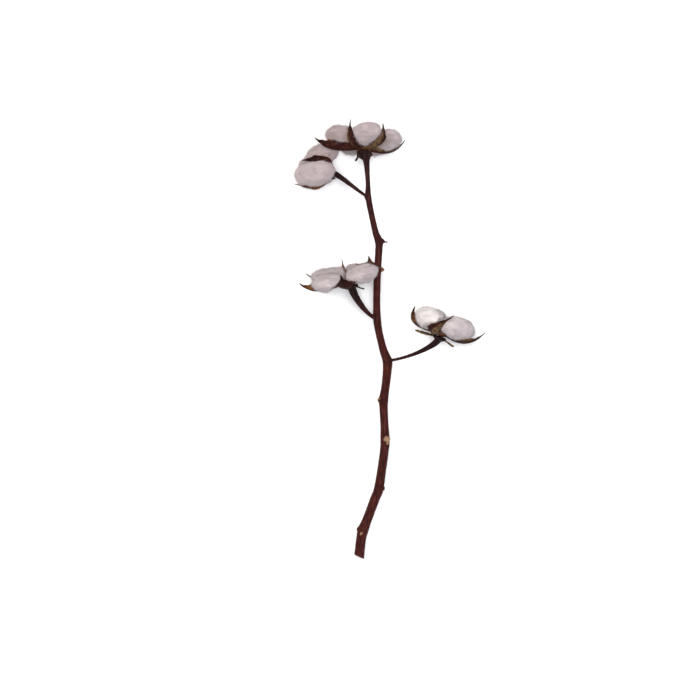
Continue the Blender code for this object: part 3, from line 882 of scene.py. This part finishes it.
def full_stem_line():
    """The stem's middle line with the end that carries the top boll."""
    line = stem_line()
    top = Boll("top")
    for below in (STEM_TOP_JOIN, STALK_TOP):
        line.append((*(top.seat - top.axis * below), STEM_TOP_RADIUS))
    return line


def bud_rod():
    """The small bud at a node of the stem."""
    middle, radius = on_stem(BUD_ALONG)
    tip = middle + Vector((radius + BUD_LENGTH - BUD_SUNK, -0.4, 0.6))
    root = middle + Vector((radius - BUD_SUNK, 0, 0.3))
    shares = [step / 12 for step in range(13)]
    return rod([(*root.lerp(tip, share), BUD_RADIUS - BUD_TAPER * share**0.8) for share in shares], 12)


def stem_piece(bolls):
    """The stem with its side stalks, swellings, scars and bud grown together, then its bark."""
    line = full_stem_line()
    rings = 260
    middle_line = [tuple(through(line, step / rings)) for step in range(rings + 1)]
    parts = [rod(middle_line, 24), bud_rod()]
    guides = [("stem", middle_line)]
    for name, *facts in STALKS:
        points = stalk_points(bolls[name], *facts)
        parts.append(rod(points, 20, stalk_swell))
        guides.append((name, points))
        start, _ = on_stem(facts[0])
        fork = start.lerp(Vector(points[3][:3]), 0.5)
        parts.append(round_form(lambda at, c=fork: c + at * FORK_RADIUS, 3)[0])
    for along, angle, size in SCARS:
        middle, radius = on_stem(along)
        turn = math.radians(angle)
        outward = Vector((math.cos(turn), 0, math.sin(turn)))
        centre = middle + outward * (radius - size * SCAR_SUNK)
        parts.append(round_form(lambda at, c=centre, s=size: c + at * s, 3)[0])
    for boll in bolls.values():
        parts.append(calyx_form(boll))
    made = merge_objects("stem_bark", parts)
    grow = made.modifiers.new("Grow together", "REMESH")
    grow.mode = "VOXEL"
    grow.voxel_size = STEM_VOXEL * MM
    ease = made.modifiers.new("Ease", "SMOOTH")
    ease.iterations = 5
    ease.factor = 0.5
    evaluated(made)
    cut_foot(made)
    bark(made, guides)
    return made


def foot_cut():
    """A point of the slanted cut at the lower end, and the way that it faces."""
    tilt = math.radians(FOOT_CUT_TILT)
    point = (Vector((0.0, FOOT_CUT_ALONG, FOOT_HEIGHT)) + FOOTPRINT_SHIFT) * MM
    return point, Vector((-math.sin(tilt), -math.cos(tilt), 0.0))


def cut_foot(made):
    """Cuts the lower end off at a slant."""
    form = bmesh.new()
    form.from_mesh(made.data)
    point, facing = foot_cut()
    cut = bmesh.ops.bisect_plane(
        form,
        geom=form.verts[:] + form.edges[:] + form.faces[:],
        plane_co=point,
        plane_no=facing,
        clear_outer=True,
    )
    rim = [found for found in cut["geom_cut"] if isinstance(found, bmesh.types.BMEdge)]
    filled = bmesh.ops.holes_fill(form, edges=rim)
    bmesh.ops.poke(form, faces=filled["faces"])
    form.to_mesh(made.data)
    form.free()


def paleness(turn, here):
    """How far the bark is rubbed or healed pale at a place on the stem, from 0 to 1."""
    pale = 0.0
    for along, angle, length, width in PALE_PATCHES:
        run = (here.y - FOOTPRINT_SHIFT.y - along) / length
        if abs(run) > 2:
            continue
        _, radius = on_stem(along)
        spread = radius * ((turn - math.radians(angle) + math.pi) % (2 * math.pi) - math.pi) / width
        away = math.sqrt(spread**2 + run**2) + 0.5 * ripple(here, 1.9, 9) + 0.25 * ripple(here, 0.8, 5)
        pale = max(pale, min(1.0, max(0.0, (1.05 - away) * 4)))
    return pale


def bark_relief(turn, here):
    """How high the bark's ridges, grain and pits stand at a place on the stem."""
    ridge = ripple((math.cos(turn) * 3.2, here.y / 9, math.sin(turn) * 3.2), 0.55)
    grain = ripple((math.cos(turn) * 9, here.y / 5, math.sin(turn) * 9), 0.7, 4)
    pits = max(0.0, ripple(here, 1.5, 2) - 0.42)
    return BARK_RIDGE * ridge + BARK_GRAIN * grain + BARK_PIT * pits


def bark(made, guides):
    """Raises the bark's ridges, grain and pits, sinks its pale scars a little, and paints where it is pale,
    dark or cut.
    """
    places = [(name, index, points) for name, points in guides for index in range(len(points))]
    tree = kdtree.KDTree(len(places))
    for number, (name, index, points) in enumerate(places):
        tree.insert(to_frame(Vector(points[index][:3])), number)
    tree.balance()
    cut_point, cut_facing = foot_cut()
    normals = [Vector(v.normal) for v in made.data.vertices]
    tones = []
    for vertex, normal in zip(made.data.vertices, normals):
        centre, number, _ = tree.find(vertex.co)
        name, index, points = places[number]
        offset = (vertex.co - centre) / MM
        turn = math.atan2(offset.z, offset.x)
        here = vertex.co / MM
        share = index / (len(points) - 1)
        cut = (vertex.co - cut_point).dot(cut_facing) > -0.02 * MM
        strength = 1.0 if name == "stem" else 0.4 + share
        pale = paleness(turn, here) if name == "stem" else 0.0
        if not cut:
            vertex.co += normal * (strength * bark_relief(turn, here) - PALE_DEPTH * pale) * MM
            vertex.co.z = max(vertex.co.z, 0.0)
        dark = 0.35 + 0.65 * share if name != "stem" else max(0.0, share - 0.6) * 2.2
        tones.append((pale, dark, 1.0 if cut else 0.0))
    paint(made, "tone", tones)


class Coat:
    """A new material, whose nodes are added step by step."""

    def __init__(self, name):
        self.made = bpy.data.materials.new(name)
        self.made.use_nodes = True
        self.nodes = self.made.node_tree.nodes
        self.link = self.made.node_tree.links.new
        self.surface = self.nodes["Principled BSDF"].inputs

    def fix(self, **values):
        """Sets constants on the surface, each named by its socket with underlines for spaces."""
        for name, value in values.items():
            self.surface[name.replace("_", " ")].default_value = value

    def tone(self):
        """The three painted values of a piece."""
        layer = self.nodes.new("ShaderNodeAttribute")
        layer.attribute_name = "tone"
        split = self.nodes.new("ShaderNodeSeparateColor")
        self.link(layer.outputs["Color"], split.inputs["Color"])
        return split.outputs

    def noise(self, scale, stretch=(1, 1, 1), detail=4.0, roughness=0.55):
        """A noise in the object's own metres, stretched along an axis by a small factor there."""
        where = self.nodes.new("ShaderNodeTexCoord")
        mapping = self.nodes.new("ShaderNodeMapping")
        mapping.inputs["Scale"].default_value = stretch
        made = self.nodes.new("ShaderNodeTexNoise")
        made.inputs["Scale"].default_value = scale
        made.inputs["Detail"].default_value = detail
        made.inputs["Roughness"].default_value = roughness
        self.link(where.outputs["Object"], mapping.inputs["Vector"])
        self.link(mapping.outputs["Vector"], made.inputs["Vector"])
        return made.outputs["Fac"]

    def ramp(self, source, *stops):
        """Colours for a value, from (place, name of the colour) stops."""
        ramp = self.nodes.new("ShaderNodeValToRGB")
        band = ramp.color_ramp
        while len(band.elements) < len(stops):
            band.elements.new(0.5)
        for element, (place, name) in zip(band.elements, stops):
            element.position = place
            element.color = (*look(name), 1.0)
        self.link(source, ramp.inputs["Fac"])
        return ramp.outputs["Color"]

    def mix(self, share, first, second):
        """Mixes two colours by a value; a name stands for its colour."""
        mix = self.nodes.new("ShaderNodeMix")
        mix.data_type = "RGBA"
        for socket, source in ((mix.inputs[0], share), (mix.inputs[6], first), (mix.inputs[7], second)):
            if isinstance(source, str):
                socket.default_value = (*look(source), 1.0)
            else:
                self.link(source, socket)
        return mix.outputs[2]

    def span(self, source, low, high, to_low=0.0, to_high=1.0):
        """A value moved from one range to another and held inside it."""
        made = self.nodes.new("ShaderNodeMapRange")
        made.interpolation_type = "SMOOTHSTEP"
        for key, value in (("From Min", low), ("From Max", high), ("To Min", to_low), ("To Max", to_high)):
            made.inputs[key].default_value = value
        self.link(source, made.inputs["Value"])
        return made.outputs["Result"]

    def bump(self, *heights):
        """Chains bumps from (height, strength) pairs into the surface's normal."""
        last = None
        for height, strength in heights:
            bump = self.nodes.new("ShaderNodeBump")
            bump.inputs["Strength"].default_value = strength
            bump.inputs["Distance"].default_value = BUMP_DISTANCE
            self.link(height, bump.inputs["Height"])
            if last is not None:
                self.link(last, bump.inputs["Normal"])
            last = bump.outputs["Normal"]
        self.link(last, self.surface["Normal"])


def cotton_material():
    """Matt off-white fibre, pinkish grey in its folds, each lock paler and darker by its tone and painted
    light, and with painted contact shade where it presses on the bur.
    """
    coat = Coat("cotton_fibre")
    near, dull_and_shade, fibre = coat.tone()
    cloud = coat.noise(95.0, detail=5.0, roughness=0.6)
    base = coat.ramp(cloud, (0.36, "cotton"), (0.66, "cotton_white"))
    # Each lock's tone with painted light and shade: the palest lock is mixed towards the lit colour, the
    # duller ones towards the shaded one.
    fresh_and_lit = coat.mix(coat.span(dull_and_shade, 0.0, 0.3, 0.7, 0.0), base, "cotton_fresh")
    dulled_and_shaded = coat.mix(coat.span(dull_and_shade, 0.0, 1.0, 0.0, 0.85), fresh_and_lit, "cotton_dull")
    # Painted contact shade: the cotton is darkened towards brownish grey where it lies near the bur.
    contact_shaded = coat.mix(coat.span(near, 0.1, 0.9, 0.0, 0.6), dulled_and_shaded, "cotton_stain")
    tips = coat.mix(coat.span(fibre, 0.0, 1.0, 0.0, 0.3), contact_shaded, "cotton_white")
    coat.link(tips, coat.surface["Base Color"])
    coat.link(coat.span(coat.noise(800.0), 0.3, 0.7, 0.88, 1.0), coat.surface["Roughness"])
    coat.fix(Specular_IOR_Level=DULL_SPECULAR, Sheen_Weight=0.25, Sheen_Roughness=0.5)
    coat.fix(Subsurface_Weight=0.2, Subsurface_Radius=(1.0, 0.75, 0.7), Subsurface_Scale=0.0012)
    fine = coat.noise(2600.0, (1, 0.25, 1), 6.0, 0.7)
    tufts = coat.noise(700.0, detail=4.0, roughness=0.6)
    coat.bump((tufts, 0.5), (fine, 0.5))
    return coat.made


def husk_material():
    """Dry husk: maroon-brown ribbed outside, tan inside and along its margins, almost black at the tip."""
    coat = Coat("dry_husk")
    inner, edge, share = coat.tone()
    mottle = coat.noise(420.0)
    streak = coat.noise(1500.0, detail=5.0, roughness=0.7)
    outside = coat.ramp(mottle, (0.32, "husk_dark"), (0.55, "husk"), (0.75, "husk_light"))
    inside = coat.ramp(mottle, (0.3, "husk_inside_dark"), (0.52, "husk_inside"), (0.75, "husk_inside_light"))
    tan = coat.ramp(mottle, (0.35, "husk_rim_dark"), (0.62, "husk_rim"))
    outside = coat.mix(coat.span(edge, 0.6, 1.0, 0.0, 0.85), outside, tan)
    both = coat.mix(inner, outside, inside)
    dark = coat.mix(coat.span(share, 0.6, 0.95, 0.0, 0.85), both, "husk_dark")
    fine = coat.mix(coat.span(streak, 0.45, 0.72, 0.0, 0.5), dark, "husk_dark")
    coat.link(fine, coat.surface["Base Color"])
    coat.link(coat.span(mottle, 0.3, 0.7, 0.55, 0.8), coat.surface["Roughness"])
    coat.fix(Specular_IOR_Level=DULL_SPECULAR)
    coat.bump((mottle, 0.4), (coat.noise(900.0, detail=5.0, roughness=0.65), 0.6))
    return coat.made


def bark_material():
    """Dark red-brown bark, greyer and nearly black towards the bolls, tan at scars and pale where cut."""
    coat = Coat("stem_bark")
    pale, dark, cut = coat.tone()
    streak = coat.noise(900.0, (1, 0.12, 1), 5.0, 0.6)
    patch = coat.noise(110.0, (1, 0.5, 1), 3.0, 0.6)
    wood = coat.ramp(streak, (0.3, "bark_dark"), (0.52, "bark"), (0.74, "bark_light"))
    grey = coat.ramp(streak, (0.3, "bark_top_dark"), (0.55, "bark_top"), (0.78, "bark_top_light"))
    warm = coat.mix(coat.span(patch, 0.45, 0.7, 0.0, 0.35), wood, "bark_light")
    upper = coat.mix(coat.span(dark, 0.0, 1.0, 0.0, 0.9), warm, grey)
    healed = coat.ramp(streak, (0.3, "scar"), (0.7, "scar_light"))
    end = coat.mix(cut, coat.mix(pale, upper, healed), "cut_wood")
    coat.link(end, coat.surface["Base Color"])
    coat.link(coat.span(patch, 0.3, 0.7, 0.5, 0.72), coat.surface["Roughness"])
    coat.fix(Specular_IOR_Level=DULL_SPECULAR)
    coat.bump((streak, 0.5), (coat.noise(2200.0, (1, 0.3, 1), 5.0, 0.65), 0.4))
    return coat.made


def bract_material():
    """Thin dried leaf: dull olive-tan with brown veins."""
    coat = Coat("dry_bract")
    mottle = coat.noise(500.0)
    vein = coat.noise(1800.0, detail=5.0, roughness=0.7)
    base = coat.ramp(mottle, (0.3, "bract_dark"), (0.5, "bract"), (0.72, "bract_light"))
    both = coat.mix(coat.span(vein, 0.5, 0.7, 0.0, 0.5), base, "bract_dark")
    dark, _, _ = coat.tone()
    coat.link(coat.mix(dark, both, "husk_dark"), coat.surface["Base Color"])
    coat.link(coat.span(mottle, 0.3, 0.7, 0.65, 0.85), coat.surface["Roughness"])
    coat.fix(Specular_IOR_Level=0.2)
    coat.bump((vein, 0.6))
    return coat.made


def floor_material():
    """Smooth matt white paper with a barely uneven tone."""
    coat = Coat("pale_floor")
    level = coat.span(coat.noise(3.0), 0.2, 0.8, 0.92, 0.94)
    joined = coat.nodes.new("ShaderNodeCombineColor")
    for channel in ("Red", "Green", "Blue"):
        coat.link(level, joined.inputs[channel])
    coat.link(joined.outputs["Color"], coat.surface["Base Color"])
    coat.fix(Roughness=0.9, Specular_IOR_Level=0.1)
    return coat.made


def lay_floor():
    """A plain pale floor just below the object."""
    form = bmesh.new()
    bmesh.ops.create_grid(form, x_segments=1, y_segments=1, size=FLOOR_HALF)
    floor = to_object("floor", form)
    floor.data.materials.append(floor_material())
    floor.location.z = -FLOOR_DROP


def light_up(scene, target):
    """A white sky and the soft lamps, which face the target."""
    world = bpy.data.worlds.new("studio")
    world.use_nodes = True
    sky = world.node_tree.nodes["Background"]
    sky.inputs["Color"].default_value = (1.0, 1.0, 1.0, 1.0)
    sky.inputs["Strength"].default_value = WORLD_LIGHT
    scene.world = world
    for name, place, power, size, colour in LAMPS:
        lamp = bpy.data.lights.new(name, "AREA")
        lamp.energy = power
        lamp.size = size
        lamp.color = colour
        made = bpy.data.objects.new(name, lamp)
        made.location = Vector(place)
        made.rotation_euler = (target - made.location).to_track_quat("-Z", "Y").to_euler()
        scene.collection.objects.link(made)


def studio():
    """The floor, the light, and the camera looking straight down."""
    scene = bpy.context.scene
    scene.view_settings.view_transform = "Standard"
    centre = (Vector((*VIEW_CENTRE, 0.0)) + FOOTPRINT_SHIFT) * MM
    lay_floor()
    light_up(scene, Vector((centre.x, centre.y, LAMP_AIM)))
    lens = bpy.data.cameras.new("camera")
    lens.angle = 2 * math.atan(FIELD / 2 / (CAMERA_HEIGHT - FIELD_HEIGHT))
    camera = bpy.data.objects.new("camera", lens)
    camera.location = (centre.x, centre.y, CAMERA_HEIGHT * MM)
    scene.collection.objects.link(camera)
    scene.camera = camera


def dress_all():
    """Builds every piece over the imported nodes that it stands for."""
    cotton, husk, bark_look, leaf = cotton_material(), husk_material(), bark_material(), bract_material()
    bolls = {name: Boll(name) for name in BOLLS}
    rng = random.Random(SEED)
    for name, boll in bolls.items():
        tree = blade_tree(boll)
        dress(bur_piece(boll), husk, "bur", f"{name}_bur")
        for index in range(len(boll.locks)):
            draw = (rng.uniform(0, 6), rng.uniform(0, 6))
            dress(cotton_lock(boll, index, draw, tree), cotton, "cotton", f"{name}_lock_{index + 1}")
    dress(stem_piece(bolls), bark_look, "stem", "stem")
    for boll in bolls.values():
        dress(bracts_piece(boll), leaf, "stem", "stem")


studio()
dress_all()
